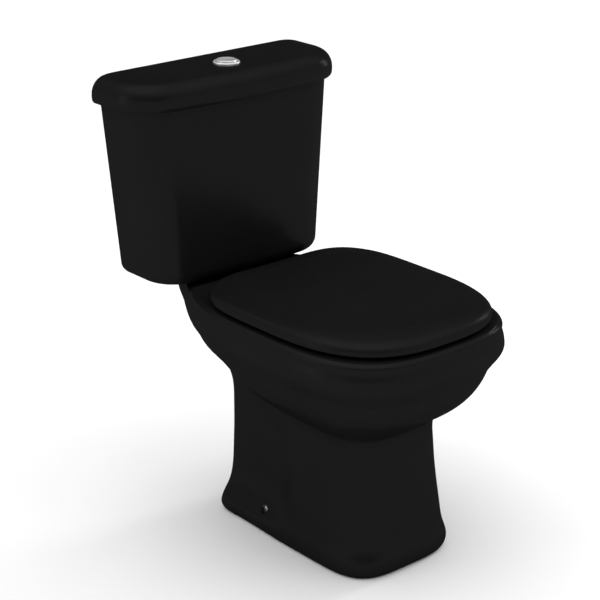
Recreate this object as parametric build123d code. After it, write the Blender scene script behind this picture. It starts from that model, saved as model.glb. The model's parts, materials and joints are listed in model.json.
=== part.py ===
from build123d import *
from collections import namedtuple
import math
import os

# Close coupled toilet: a pan, a cistern on its rear deck, a seat and a cover.
# Millimetres. +Z is up, -Y is the front, the origin is on the floor under the middle.

# Pan: outer form
RIM_HEIGHT = 400.0
RIM_HALF_WIDTH = 195.0
PAN_NOSE = -309.0
WIDEST_Y = -79.0
RIM_SQUARENESS = 3.1
NECK_SQUARENESS = 3.3
FOOT_SQUARENESS = 3.9
DECK_BACK = 286.0
DECK_DROP = 12.0
DECK_STEP_Y = 152.0
DECK_CORNER = 26.0
RIM_TAPER = 315.0
RIM_SHARPNESS = 3.75
COLUMN_SHARPNESS = 5.0
BOWL_OUTER_DEPTH = 183.0
NECK_HALF_WIDTH = 97.0
NECK_FRONT = -208.0
COLUMN_WIDEST_Y = -105.0
TRAP_HALF_WIDTH = 78.0
TRAP_BACK = 140.0
TRAP_CORNER = 28.0
FOOT_HALF_WIDTH = 115.0
FOOT_TAIL_HALF_WIDTH = 109.0
FOOT_FRONT = -231.0
FOOT_BACK = 137.5
FOOT_EDGE = 5.0

# Pan: bowl, trap and walls
CHINA_WALL = 12.0
RIM_WIDTH = 46.0
RIM_LIP_DEPTH = 34.0
RIM_OVERHANG = 10.0
RIM_SOLID_DEPTH = 32.0
BOWL_BACK_Y = 75.0
BOWL_SQUARENESS = 2.3
SUMP_FLOOR = 110.0
SUMP_HALF_WIDTH = 30.0
SUMP_FRONT = -95.0
SUMP_BACK = -18.0
TRAP_BORE = 27.0
TRAP_WALL = 8.0
TRAP_DIP_HEIGHT = 104.0
TRAP_CREST_HEIGHT = 215.0
TRAP_LEG_SPACING = 72.0
TRAP_BEND = 35.6
OUTLET_Y = 96.0
OUTLET_BORE = 32.0
OUTLET_DEPTH = 50.0
RIM_SLICE_DEPTH = 28.0
PAN_CUT_GAP = 1.0

# Cistern
COUPLING_GAP = 6.0
TANK_HEIGHT = 298.5
TANK_WALL = 9.0
TANK_FLOOR = 12.0
TANK_TOP_HALF_WIDTH = 208.0
TANK_BOTTOM_HALF_WIDTH = 176.0
TANK_BACK = 303.0
TANK_FRONT_TOP = 174.0
TANK_FRONT_BOTTOM = 163.0
TANK_CORNER = 66.0
TANK_BACK_CORNER = 14.0
TANK_BOTTOM_ROUND = 20.0
FRONT_BOW = 1500.0
LID_OVERHANG = 12.5
LID_BACK_OVERHANG = 6.0
LID_HEIGHT = 43.0
LID_TOP_WALL = 11.0
LID_LIP_DEPTH = 9.0
LID_LIP_WALL = 7.0
LID_LIP_GAP = 2.5

# Coupling and cistern bolts
VALVE_Y = 230.0
INLET_RECESS = 42.0
INLET_RECESS_DEPTH = 12.0
INLET_BORE = 24.0
DUCT_HEIGHT = 20.0
DUCT_DEPTH = 44.0
TANK_BOLT_X = 75.0
TANK_BOLT_RADIUS = 4.0
TANK_BOLT_HOLE = 5.5
DECK_THICKNESS = 14.0
NUT_POCKET = 19.0

# Seat and cover
SEAT_INSET = 14.0
SEAT_SQUARENESS = 2.8
SEAT_GAP = 7.0
SEAT_BACK = 120.0
SEAT_BACK_HALF_WIDTH = 108.0
SEAT_SIDE_POWER = 5.0
SEAT_CORNER = 28.0
RING_THICKNESS = 12.0
RING_HOLE_HALF_WIDTH = 108.0
RING_HOLE_FRONT = -222.0
RING_HOLE_BACK = 48.0
COVER_WALL = 4.0
COVER_SIDE_GAP = 4.0
COVER_TOP_GAP = 4.5
BUFFER_RADIUS = 8.0
COVER_BUFFER_RADIUS = 6.0

# Seat hinge
HINGE_X = 77.5
HINGE_Y = 110.0
HINGE_LIFT = 14.0
HINGE_PIN = 3.0
HINGE_RUNNING_GAP = 0.05
HINGE_BARREL = 6.0
HINGE_POST_WIDTH = 15.0
HINGE_LUG_WIDTH = 8.0
HINGE_SIDE_GAP = 1.0
HINGE_BASE = 13.0
HINGE_BASE_HEIGHT = 4.0
HINGE_HOLE = 8.0
HINGE_PLUG_GAP = 0.2
HINGE_SCREW = 3.0

# Push button
BUTTON_COLLAR = 22.0
BUTTON_COLLAR_HEIGHT = 4.5
BUTTON_SLEEVE = 19.0
BUTTON_SLEEVE_WALL = 2.0
BUTTON_SLEEVE_LENGTH = 34.0
BUTTON_HOLE_GAP = 0.6
BUTTON_GAP = 0.3
BUTTON_PROUD = 2.5
BUTTON_SKIRT = 12.0
BUTTON_WALL = 2.0
ROD_RADIUS = 3.5
ROD_TIP = 1.6
ROD_TIP_LENGTH = 8.0
SPRING_WIRE = 0.8
SPRING_RADIUS = 13.0
SPRING_TURNS = 4

# Flush valve
VALVE_TAIL = 24.0
VALVE_TAIL_WALL = 3.0
VALVE_TAIL_LENGTH = 16.0
VALVE_HOLE_GAP = 1.0
VALVE_FLANGE = 36.0
VALVE_FLANGE_HEIGHT = 6.0
VALVE_GASKET = 3.0
VALVE_NUT_RADIUS = 33.0
VALVE_NUT_HEIGHT = 11.0
CAGE_RADIUS = 30.0
CAGE_POST = 5.0
CAGE_POST_INSET = 1.5
CAGE_HEIGHT = 62.0
CAGE_COLLAR_HEIGHT = 14.0
SPINDLE_RADIUS = 14.0
SPINDLE_WALL = 2.5
SPINDLE_LENGTH = 150.0
SPINDLE_GAP = 0.3
SEAL_RADIUS = 23.0
SEAL_HEIGHT = 4.0
LEVER_X = 26.0
LEVER_ARM = 20.0
LEVER_HALF_WIDTH = 4.0
LEVER_THICKNESS = 6.0
LEVER_INNER_TIP = 4.0
LEVER_OUTER_TIP = 1.0
LEVER_BARREL = 5.0
LEVER_PIN = 2.0
LEVER_RUNNING_GAP = 0.05
LEVER_SIDE_GAP = 0.5
LEVER_ABOVE_SPINDLE = 20.0
BRACKET_THICKNESS = 4.0
BRACKET_WIDTH = 10.0
LIFT_GAP = 0.6
LIFT_BAR = 5.0

# Fill valve
FILL_X = 138.0
FILL_Y = 236.0
FILL_SHANK = 10.6
FILL_THREAD = 10.4
FILL_SHANK_LENGTH = 58.0
FILL_HOLE_GAP = 0.8
FILL_FLANGE = 19.0
FILL_FLANGE_HEIGHT = 5.0
FILL_NUT_RADIUS = 17.0
FILL_NUT_HEIGHT = 10.0
FILL_TOWER = 11.0
FILL_TOWER_HEIGHT = 220.0
FILL_STOP_RADIUS = 16.0
FILL_STOP_HEIGHT = 40.0
FILL_STOP_THICKNESS = 5.0
FILL_CAP = 17.0
FILL_CAP_HEIGHT = 24.0
FLOAT_RADIUS = 25.0
FLOAT_GAP = 0.6
FLOAT_HEIGHT = 60.0

# Floor fixing
FIXING_Y = 17.0
FIXING_HEIGHT = 38.0
FIXING_HOLE = 3.2
FIXING_CUP = 7.0
FIXING_CUP_DEPTH = 6.0
FIXING_CUP_WALL = 1.6
FIXING_SCREW = 2.6
FIXING_SCREW_HEAD = 4.2
FIXING_SCREW_HEAD_HEIGHT = 3.0
BRACKET_HALF_LENGTH = 15.0
BRACKET_PLATE = 4.0
BRACKET_HEIGHT = 46.0
BRACKET_CLEARANCE = 1.5
BRACKET_FLOOR_HOLE = 4.0
FLOOR_HOLE_X = 60.0
FLOOR_HOLE_MARGIN = 18.0

# Heights and places that follow from the sizes above
DECK_HEIGHT = RIM_HEIGHT - DECK_DROP
NECK_HEIGHT = RIM_HEIGHT - BOWL_OUTER_DEPTH
TANK_BASE = DECK_HEIGHT + COUPLING_GAP
TANK_FLOOR_TOP = TANK_BASE + TANK_FLOOR
TANK_TOP = TANK_BASE + TANK_HEIGHT
LID_TOP = TANK_TOP + LID_HEIGHT
SEAT_BASE = RIM_HEIGHT + SEAT_GAP
RING_TOP = SEAT_BASE + RING_THICKNESS
COVER_UNDERSIDE = RING_TOP + COVER_TOP_GAP
COVER_TOP = COVER_UNDERSIDE + COVER_WALL
HINGE_Z = RIM_HEIGHT + HINGE_LIFT
INLET_FLOOR = DECK_HEIGHT - INLET_RECESS_DEPTH
OUTSIDE = 5.0


# Plan outlines

Level = namedtuple("Level", "height half_width front widest back tail taper sharpness corner squareness")

FRONT_POINTS = 9
SIDE_POINTS = 9
CORNER_POINTS = 4


def superellipse_quarter(half_width, length, squareness, count):
    """Points from the tip (0, -length) to the side (half_width, 0), the side left out."""
    points = []
    for i in range(count):
        angle = math.pi / 2 * i / count
        x = half_width * math.sin(angle) ** (2 / squareness)
        y = -length * math.cos(angle) ** (2 / squareness)
        points.append((x, y))
    return points


def close_half(half):
    """A whole outline from the points of its right half, front tip first and back middle last."""
    mirrored = [(-x, y) for x, y in reversed(half[1:-1])]
    return half + mirrored


def pan_outline(level, inset=0.0):
    """The pan's plan at one level: a rounded nose, sides that draw in, and a straight back."""
    half_width = level.half_width - inset
    front = level.front + inset
    back = level.back - inset
    tail = max(level.tail - inset, 0.0)
    half = [
        (x, level.widest + y)
        for x, y in superellipse_quarter(half_width, level.widest - front, level.squareness, FRONT_POINTS)
    ]

    def side(y):
        reach = (y - level.widest) / (level.taper - inset)
        return tail + (half_width - tail) / (1 + reach**level.sharpness)

    corner_start = back - level.corner
    for i in range(SIDE_POINTS):
        y = level.widest + (corner_start - level.widest) * i / SIDE_POINTS
        half.append((side(y), y))
    for i in range(CORNER_POINTS):
        turn = math.pi / 2 * i / (CORNER_POINTS - 1)
        y = corner_start + level.corner * math.sin(turn)
        half.append((side(y) - level.corner * (1 - math.cos(turn)), y))
    half.append((half[-1][0] / 2, back))
    half.append((0.0, back))
    return close_half(half)


def oval_outline(half_width, front, back):
    """A superellipse plan for the bowl, between a front and a back."""
    middle = (front + back) / 2
    length = (back - front) / 2
    quarter = superellipse_quarter(half_width, length, BOWL_SQUARENESS, FRONT_POINTS)
    half = [(x, middle + y) for x, y in quarter]
    half.append((half_width, middle))
    half += [(x, middle - y) for x, y in reversed(quarter)]
    return close_half(half)


def seat_outline(inset=0.0):
    """The seat's plan: the rim's nose brought in, sides that draw in to a straight back."""
    half_width = RIM_HALF_WIDTH - SEAT_INSET - inset
    front = PAN_NOSE + SEAT_INSET + inset
    back = SEAT_BACK - inset
    back_half_width = SEAT_BACK_HALF_WIDTH - inset
    corner = max(SEAT_CORNER - inset / 2, SEAT_CORNER / 4)
    half = [
        (x, WIDEST_Y + y)
        for x, y in superellipse_quarter(half_width, WIDEST_Y - front, SEAT_SQUARENESS, FRONT_POINTS)
    ]

    def side(y):
        reach = (y - WIDEST_Y) / (SEAT_BACK - WIDEST_Y)
        return half_width - (half_width - back_half_width) * reach**SEAT_SIDE_POWER

    corner_start = back - corner
    for i in range(SIDE_POINTS):
        y = WIDEST_Y + (corner_start - WIDEST_Y) * i / SIDE_POINTS
        half.append((side(y), y))
    for i in range(CORNER_POINTS):
        turn = math.pi / 2 * i / (CORNER_POINTS - 1)
        y = corner_start + corner * math.sin(turn)
        half.append((side(y) - corner * (1 - math.cos(turn)), y))
    half.append((half[-1][0] / 2, back))
    half.append((0.0, back))
    return close_half(half)


def chord_steps(points):
    """Curve parameters from 0 to 1 in step with the chords of a closed outline."""
    closed = points + points[:1]
    lengths = [math.dist(a, b) for a, b in zip(closed, closed[1:])]
    steps = [0.0]
    for length in lengths:
        steps.append(steps[-1] + length / sum(lengths))
    steps[-1] = 1.0
    return steps


def smooth_loft(sections):
    """A smooth solid through closed outlines, each given with its height."""
    steps = chord_steps(sections[len(sections) // 2][0])
    wires = []
    for points, height in sections:
        corners = [Vector(x, y, height) for x, y in points]
        wires.append(Wire([Edge.make_spline(corners, periodic=True, parameters=steps)]))
    return Solid.make_loft(wires)


def prism(points, low, high):
    """An upright solid on one smooth closed outline."""
    corners = [Vector(x, y, low) for x, y in points]
    edge = Edge.make_spline(corners, periodic=True, parameters=chord_steps(points))
    return extrude(Face(Wire([edge])), high - low, (0, 0, 1))


def bowed_wire(half_width, front, back, corner, back_corner, height):
    """The cistern's plan: a slightly bowed front, round front corners, small back corners."""
    bow_middle = front + FRONT_BOW
    corner_x = half_width - corner
    corner_y = bow_middle - math.sqrt((FRONT_BOW - corner) ** 2 - corner_x**2)
    stretch = FRONT_BOW / (FRONT_BOW - corner)
    meet_x = corner_x * stretch
    meet_y = bow_middle + (corner_y - bow_middle) * stretch
    toward = math.atan2(meet_y - corner_y, meet_x - corner_x) / 2
    arc_x = corner_x + corner * math.cos(toward)
    arc_y = corner_y + corner * math.sin(toward)
    back_mid = back_corner * math.sqrt(0.5)
    back_x = half_width - back_corner
    back_y = back - back_corner

    def at(x, y):
        return Vector(x, y, height)

    edges = [
        Edge.make_three_point_arc(at(-meet_x, meet_y), at(0, front), at(meet_x, meet_y)),
        Edge.make_three_point_arc(at(meet_x, meet_y), at(arc_x, arc_y), at(half_width, corner_y)),
        Edge.make_line(at(half_width, corner_y), at(half_width, back_y)),
        Edge.make_three_point_arc(
            at(half_width, back_y), at(back_x + back_mid, back_y + back_mid), at(back_x, back)
        ),
        Edge.make_line(at(back_x, back), at(-back_x, back)),
        Edge.make_three_point_arc(
            at(-back_x, back), at(-back_x - back_mid, back_y + back_mid), at(-half_width, back_y)
        ),
        Edge.make_line(at(-half_width, back_y), at(-half_width, corner_y)),
        Edge.make_three_point_arc(at(-half_width, corner_y), at(-arc_x, arc_y), at(-meet_x, meet_y)),
    ]
    return Wire(edges)


# Simple solids


def block(low, high):
    """A box between two corners."""
    size = [b - a for a, b in zip(low, high)]
    middle = [(a + b) / 2 for a, b in zip(low, high)]
    return Pos(*middle) * Box(*size)


def post(x, y, low, high, radius):
    """An upright cylinder."""
    return Pos(x, y, (low + high) / 2) * Cylinder(radius, high - low)


def tube(x, y, low, high, radius, bore):
    """An upright tube."""
    return post(x, y, low, high, radius) - post(x, y, low - OUTSIDE, high + OUTSIDE, bore)


def bar_x(low, high, y, z, radius):
    """A cylinder along X."""
    return Pos((low + high) / 2, y, z) * Rot(0, 90, 0) * Cylinder(radius, high - low)


def bar_y(x, low, high, z, radius):
    """A cylinder along Y."""
    return Pos(x, (low + high) / 2, z) * Rot(90, 0, 0) * Cylinder(radius, high - low)


def hex_ring(x, y, low, high, radius, bore):
    """A hexagonal nut, radius across its corners."""
    nut = extrude(Pos(x, y, low) * RegularPolygon(radius, 6), high - low)
    return nut - post(x, y, low - OUTSIDE, high + OUTSIDE, bore)


def one_solid(shape):
    """The single solid in a result."""
    solids = shape.solids()
    return max(solids, key=lambda solid: solid.volume)


def group(solids):
    """Separate solids in one node."""
    return Compound(children=[one_solid(solid) for solid in solids])


def both_sides(make):
    """One piece on the right and one on the left."""
    return [make(1), make(-1)]


# Pan

RIM_PROFILE = [
    (0.0, 10.5),
    (3.0, 6.5),
    (8.0, 4.0),
    (13.0, 4.6),
    (18.0, 4.0),
    (24.0, 2.0),
    (32.0, 0.6),
    (42.0, 0.0),
    (55.0, 5.5),
    (64.0, 11.5),
    (71.0, 16.0),
]

BowlRow = namedtuple("BowlRow", "drop side_inset nose_inset back_inset tail taper")
BOWL_PROFILE = [
    BowlRow(78.0, 18.5, 20.5, 72.0, 15.0, 290.0),
    BowlRow(90.0, 24.0, 25.0, 106.0, 35.0, 250.0),
    BowlRow(115.0, 38.0, 38.0, 141.0, 60.0, 205.0),
    BowlRow(138.0, 57.0, 58.0, 145.0, 70.0, 180.0),
    BowlRow(156.0, 79.0, 82.0, 146.0, 75.0, 165.0),
    BowlRow(169.0, 94.0, 97.0, 146.0, 77.0, 150.0),
]
BACK_INSETS = [0.0, 0.0, 0.0, -1.0, -4.0, -6.5, -7.0, -2.0, 14.0, 32.0, 50.0]

ColumnRow = namedtuple("ColumnRow", "share spread flare waist")
COLUMN_PROFILE = [
    ColumnRow(1.0, 0.0, 0.0, 130.0),
    ColumnRow(0.9, 0.02, 0.0, 100.0),
    ColumnRow(0.73, 0.12, 0.0, 82.0),
    ColumnRow(0.5, 0.34, 0.06, 76.0),
    ColumnRow(0.32, 0.55, 0.16, 80.0),
    ColumnRow(0.2, 0.74, 0.45, 95.0),
    ColumnRow(0.09, 1.0, 0.98, 120.0),
    ColumnRow(0.03, 0.86, 0.96, 120.0),
]


def between(start, end, share):
    """A value part of the way from start to end."""
    return start + (end - start) * share


def pan_levels():
    """Every level of the pan's outer form, from the rim down to the floor."""
    levels = []
    for (drop, inset), back_inset in zip(RIM_PROFILE, BACK_INSETS):
        levels.append(
            Level(
                height=RIM_HEIGHT - drop,
                half_width=RIM_HALF_WIDTH - inset,
                front=PAN_NOSE + inset,
                widest=WIDEST_Y,
                back=DECK_BACK - back_inset,
                tail=0.0,
                taper=RIM_TAPER - inset,
                sharpness=RIM_SHARPNESS,
                corner=DECK_CORNER,
                squareness=RIM_SQUARENESS,
            )
        )
    for row in BOWL_PROFILE:
        depth = (row.drop - BOWL_PROFILE[0].drop) / (BOWL_OUTER_DEPTH - BOWL_PROFILE[0].drop)
        levels.append(
            Level(
                height=RIM_HEIGHT - row.drop,
                half_width=RIM_HALF_WIDTH - row.side_inset,
                front=PAN_NOSE + row.nose_inset,
                widest=between(WIDEST_Y, COLUMN_WIDEST_Y, depth),
                back=DECK_BACK - row.back_inset,
                tail=row.tail,
                taper=row.taper,
                sharpness=RIM_SHARPNESS,
                corner=between(DECK_CORNER, TRAP_CORNER, depth),
                squareness=between(RIM_SQUARENESS, NECK_SQUARENESS, depth),
            )
        )
    for row in COLUMN_PROFILE:
        levels.append(
            Level(
                height=NECK_HEIGHT * row.share,
                half_width=between(NECK_HALF_WIDTH, FOOT_HALF_WIDTH, row.spread),
                front=between(NECK_FRONT, FOOT_FRONT, row.spread),
                widest=COLUMN_WIDEST_Y,
                back=between(TRAP_BACK, FOOT_BACK, row.flare),
                tail=between(TRAP_HALF_WIDTH, FOOT_TAIL_HALF_WIDTH, row.flare),
                taper=row.waist,
                sharpness=COLUMN_SHARPNESS,
                corner=TRAP_CORNER,
                squareness=between(FOOT_SQUARENESS, NECK_SQUARENESS, row.share),
            )
        )
    last = levels[-1]
    levels.append(
        last._replace(
            height=0.0,
            half_width=last.half_width - FOOT_EDGE,
            front=last.front + FOOT_EDGE,
            back=last.back - FOOT_EDGE,
            tail=last.tail - FOOT_EDGE,
        )
    )
    return levels


def foot_side(height, y):
    """Half the pan's width near the foot, between the levels above and below."""
    levels = pan_levels()
    above = min((level for level in levels if level.height >= height), key=lambda level: level.height)
    below = max((level for level in levels if level.height < height), key=lambda level: level.height)

    def side(level):
        reach = (y - level.widest) / level.taper
        return level.tail + (level.half_width - level.tail) / (1 + reach**level.sharpness)

    share = (height - below.height) / (above.height - below.height)
    return between(side(below), side(above), share)


FIXING_SEAT_X = foot_side(FIXING_HEIGHT, FIXING_Y) - FIXING_CUP_DEPTH - FIXING_CUP_WALL
BRACKET_FACE_X = foot_side(BRACKET_HEIGHT, FIXING_Y + BRACKET_HALF_LENGTH) - CHINA_WALL - BRACKET_CLEARANCE
FIXING_SCREW_END = BRACKET_FACE_X - 3 * BRACKET_PLATE


# Bowl cavity below the rim: share of the depth down to the sump, then shares of the way in
BOWL_CAVITY = [
    (0.0, 0.0, 0.0, 0.0),
    (0.1, 0.0, 0.0, 0.0),
    (0.25, 0.12, 0.09, 0.18),
    (0.4, 0.37, 0.3, 0.53),
    (0.54, 0.62, 0.56, 0.8),
    (0.7, 0.78, 0.78, 0.9),
    (0.85, 0.9, 0.9, 0.94),
    (1.0, 1.0, 1.0, 1.0),
]


def bowl_cavity(grow=0.0):
    """The hollow of the bowl under the rim's lip, or the same hollow grown by a wall."""
    lip_half_width = RIM_HALF_WIDTH - RIM_PROFILE[0][1] - RIM_WIDTH
    lip_front = PAN_NOSE + RIM_PROFILE[0][1] + RIM_WIDTH
    top = RIM_HEIGHT - RIM_LIP_DEPTH + grow
    bottom = SUMP_FLOOR - grow
    sections = []
    for down, side, front, back in BOWL_CAVITY:
        outline = oval_outline(
            between(lip_half_width + RIM_OVERHANG, SUMP_HALF_WIDTH, side) + grow,
            between(lip_front - RIM_OVERHANG, SUMP_FRONT, front) - grow,
            between(BOWL_BACK_Y + RIM_OVERHANG, SUMP_BACK, back) + grow,
        )
        sections.append((outline, between(top, bottom, down)))
    return smooth_loft(sections)


def rim_opening(grow=0.0):
    """The mouth of the bowl inside the rim's lip."""
    outline = oval_outline(
        RIM_HALF_WIDTH - RIM_PROFILE[0][1] - RIM_WIDTH + grow,
        PAN_NOSE + RIM_PROFILE[0][1] + RIM_WIDTH - grow,
        BOWL_BACK_Y + grow,
    )
    return prism(outline, RIM_HEIGHT - RIM_LIP_DEPTH - OUTSIDE, RIM_HEIGHT + OUTSIDE)


def trap_way(radius):
    """The water's way from the sump over the trap's crest and down to the floor."""
    rise_y = OUTLET_Y - TRAP_LEG_SPACING
    path = FilletPolyline(
        (0, (SUMP_FRONT + SUMP_BACK) / 2, TRAP_DIP_HEIGHT),
        (0, rise_y, TRAP_DIP_HEIGHT),
        (0, rise_y, TRAP_CREST_HEIGHT),
        (0, OUTLET_Y, TRAP_CREST_HEIGHT),
        (0, OUTLET_Y, -OUTSIDE),
        radius=TRAP_BEND,
    )
    section = Plane(path @ 0, z_dir=path % 0) * Circle(radius)
    return sweep(section, path)


def flush_duct(grow=0.0):
    """The flush water's way from the inlet forward into the bowl."""
    top = INLET_FLOOR - (DUCT_DEPTH - DUCT_HEIGHT - INLET_RECESS_DEPTH) + grow
    return block(
        (-INLET_BORE - grow, BOWL_BACK_Y - OUTSIDE, DECK_HEIGHT - DUCT_DEPTH - grow),
        (INLET_BORE + grow, VALVE_Y, top),
    )


def make_pan():
    """The whole casting: outer form, bowl, trap, hollow foot and the holes in it."""
    levels = pan_levels()
    outer = smooth_loft([(pan_outline(level), level.height) for level in levels])
    deck_cut = block(
        (-RIM_HALF_WIDTH, DECK_STEP_Y, DECK_HEIGHT),
        (RIM_HALF_WIDTH, DECK_BACK + OUTSIDE, RIM_HEIGHT + OUTSIDE),
    )
    pan = outer - deck_cut

    hollow_levels = [level for level in levels if level.height <= RIM_HEIGHT - RIM_SOLID_DEPTH]
    hollow_levels = hollow_levels[:-1:2] + hollow_levels[-1:]
    sections = [(pan_outline(level, CHINA_WALL), level.height) for level in hollow_levels]
    sections[-1] = (sections[-1][0], -OUTSIDE)
    hollow = smooth_loft(sections)
    hollow -= block(
        (-RIM_HALF_WIDTH, DECK_STEP_Y + CHINA_WALL, -2 * OUTSIDE),
        (RIM_HALF_WIDTH, DECK_BACK, RIM_HEIGHT),
    )
    hollow -= bowl_cavity(CHINA_WALL)
    hollow -= trap_way(TRAP_BORE + TRAP_WALL)
    hollow -= post(0, OUTLET_Y, -2 * OUTSIDE, OUTLET_DEPTH + TRAP_WALL, OUTLET_BORE + TRAP_WALL)
    hollow -= flush_duct(CHINA_WALL)
    pan -= hollow

    pan -= rim_opening()
    pan -= bowl_cavity()
    pan -= trap_way(TRAP_BORE)
    pan -= post(0, OUTLET_Y, -OUTSIDE, OUTLET_DEPTH, OUTLET_BORE)
    pan -= flush_duct()
    pan -= post(0, VALVE_Y, DECK_HEIGHT - DUCT_DEPTH, DECK_HEIGHT, INLET_BORE)
    pan -= post(0, VALVE_Y, INLET_FLOOR, DECK_HEIGHT + OUTSIDE, INLET_RECESS)
    for side in (1, -1):
        bolt_x = side * TANK_BOLT_X
        pan -= post(bolt_x, VALVE_Y, NECK_HEIGHT, DECK_HEIGHT + OUTSIDE, TANK_BOLT_HOLE)
        pan -= post(bolt_x, VALVE_Y, NECK_HEIGHT, DECK_HEIGHT - DECK_THICKNESS, NUT_POCKET)
        hinge_x = side * HINGE_X
        pan -= post(hinge_x, HINGE_Y, RIM_HEIGHT - RIM_SOLID_DEPTH, RIM_HEIGHT + OUTSIDE, HINGE_HOLE)
        fixing = sorted((side * FIXING_SCREW_END, side * FOOT_HALF_WIDTH * 2))
        pan -= bar_x(fixing[0], fixing[1], FIXING_Y, FIXING_HEIGHT, FIXING_HOLE)
        cup = sorted((side * FIXING_SEAT_X, side * FOOT_HALF_WIDTH * 2))
        pan -= bar_x(cup[0], cup[1], FIXING_Y, FIXING_HEIGHT, FIXING_CUP)
    return one_solid(pan)


def pan_slice(pan, low, high):
    """The part of the pan between two heights."""
    reach = 2 * RIM_HALF_WIDTH
    length = -2 * PAN_NOSE
    return one_solid(pan & block((-reach, -length, low), (reach, length, high)))


def split_pan():
    """The casting as nodes: level slices, with the basin and the trap apart from the outer wall."""
    pan = make_pan()
    rim_cut = RIM_HEIGHT - RIM_SLICE_DEPTH
    groove_cut = RIM_HEIGHT - (RIM_PROFILE[-1][0] + BOWL_PROFILE[0].drop) / 2
    lower = pan_slice(pan, -OUTSIDE, groove_cut)
    basin_room = bowl_cavity(CHINA_WALL + PAN_CUT_GAP)
    basin = lower & basin_room
    around = lower - basin_room

    half_width = OUTLET_BORE + TRAP_WALL + PAN_CUT_GAP
    front = SUMP_FRONT - TRAP_BORE
    middle = OUTLET_Y - TRAP_LEG_SPACING / 2
    back = TRAP_BACK - CHINA_WALL - PAN_CUT_GAP
    top = TRAP_CREST_HEIGHT + half_width
    dip_underside = TRAP_DIP_HEIGHT - TRAP_BORE - TRAP_WALL - PAN_CUT_GAP
    trap_room = block((-half_width, front, -OUTSIDE), (half_width, back, top))
    rise_room = block((-half_width, front, dip_underside), (half_width, middle, top))
    trap = around & trap_room
    wall = around - trap_room
    return {
        "pan_rim": pan_slice(pan, rim_cut, RIM_HEIGHT + OUTSIDE),
        "pan_bowl": pan_slice(pan, groove_cut, rim_cut),
        "pan_skirt": pan_slice(wall, NECK_HEIGHT, groove_cut),
        "pan_pedestal": pan_slice(wall, -OUTSIDE, NECK_HEIGHT),
        "pan_basin": pan_slice(basin, NECK_HEIGHT, groove_cut),
        "pan_sump": pan_slice(basin, -OUTSIDE, NECK_HEIGHT),
        "pan_trap": one_solid(trap & rise_room),
        "pan_outlet": one_solid(trap - rise_room),
    }


# Cistern

LID_PROFILE = [
    (3.0, 0.0),
    (0.6, 0.09),
    (0.0, 0.26),
    (0.7, 0.45),
    (4.0, 0.66),
    (10.5, 0.84),
    (19.0, 0.945),
    (28.0, 0.985),
    (36.0, 1.0),
]
LID_BACK_SHARE = 0.2


def tank_wire(height, inset):
    """The tank's plan at one height, brought in by an inset."""
    share = (height - TANK_BASE) / TANK_HEIGHT
    return bowed_wire(
        between(TANK_BOTTOM_HALF_WIDTH, TANK_TOP_HALF_WIDTH, share) - inset,
        between(TANK_FRONT_BOTTOM, TANK_FRONT_TOP, share) + inset,
        TANK_BACK - inset,
        TANK_CORNER - inset,
        max(TANK_BACK_CORNER - inset, TANK_BACK_CORNER / 2),
        height,
    )


def make_tank():
    """The open cistern with the holes in its floor."""
    shell = Solid.make_loft([tank_wire(TANK_BASE, 0), tank_wire(TANK_TOP, 0)], ruled=True)
    base_edges = [edge for edge in shell.edges() if abs(edge.center().Z - TANK_BASE) < 0.01]
    shell = fillet(base_edges, TANK_BOTTOM_ROUND)
    top = TANK_TOP + OUTSIDE
    inside = Solid.make_loft([tank_wire(TANK_FLOOR_TOP, TANK_WALL), tank_wire(top, TANK_WALL)], ruled=True)
    tank = shell - inside
    low = TANK_BASE - OUTSIDE
    high = TANK_FLOOR_TOP + OUTSIDE
    tank -= post(0, VALVE_Y, low, high, VALVE_TAIL + VALVE_HOLE_GAP)
    tank -= post(FILL_X, FILL_Y, low, high, FILL_SHANK + FILL_HOLE_GAP)
    for side in (1, -1):
        tank -= post(side * TANK_BOLT_X, VALVE_Y, low, high, TANK_BOLT_HOLE)
    return one_solid(tank)


def lid_wire(inset, height):
    """The lid's plan at one height, brought in from its fullest outline."""
    return bowed_wire(
        TANK_TOP_HALF_WIDTH + LID_OVERHANG - inset,
        TANK_FRONT_TOP - LID_OVERHANG + inset,
        TANK_BACK + LID_BACK_OVERHANG - inset * LID_BACK_SHARE,
        TANK_CORNER + LID_OVERHANG - inset,
        TANK_BACK_CORNER,
        height,
    )


def make_lid():
    """The cistern lid: a rounded cap, hollow below, with a lip that drops into the tank."""
    rows = [(inset, TANK_TOP + rise * LID_HEIGHT) for inset, rise in LID_PROFILE]
    lid = Solid.make_loft([lid_wire(inset, height) for inset, height in rows])
    lip_inset = TANK_WALL + LID_LIP_GAP
    lip_low = TANK_TOP - LID_LIP_DEPTH
    lid += extrude(Face(tank_wire(TANK_TOP, lip_inset)), LID_LIP_DEPTH, (0, 0, -1))
    hollow_height = LID_LIP_DEPTH + LID_HEIGHT - LID_TOP_WALL
    hollow = Face(tank_wire(TANK_TOP, lip_inset + LID_LIP_WALL))
    lid -= Pos(0, 0, -LID_LIP_DEPTH) * extrude(hollow, hollow_height, (0, 0, 1))
    lid -= post(0, VALVE_Y, lip_low, LID_TOP + OUTSIDE, BUTTON_SLEEVE + BUTTON_HOLE_GAP)
    return one_solid(lid)


# Seat ring, cover, buffers and hinge

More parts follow.
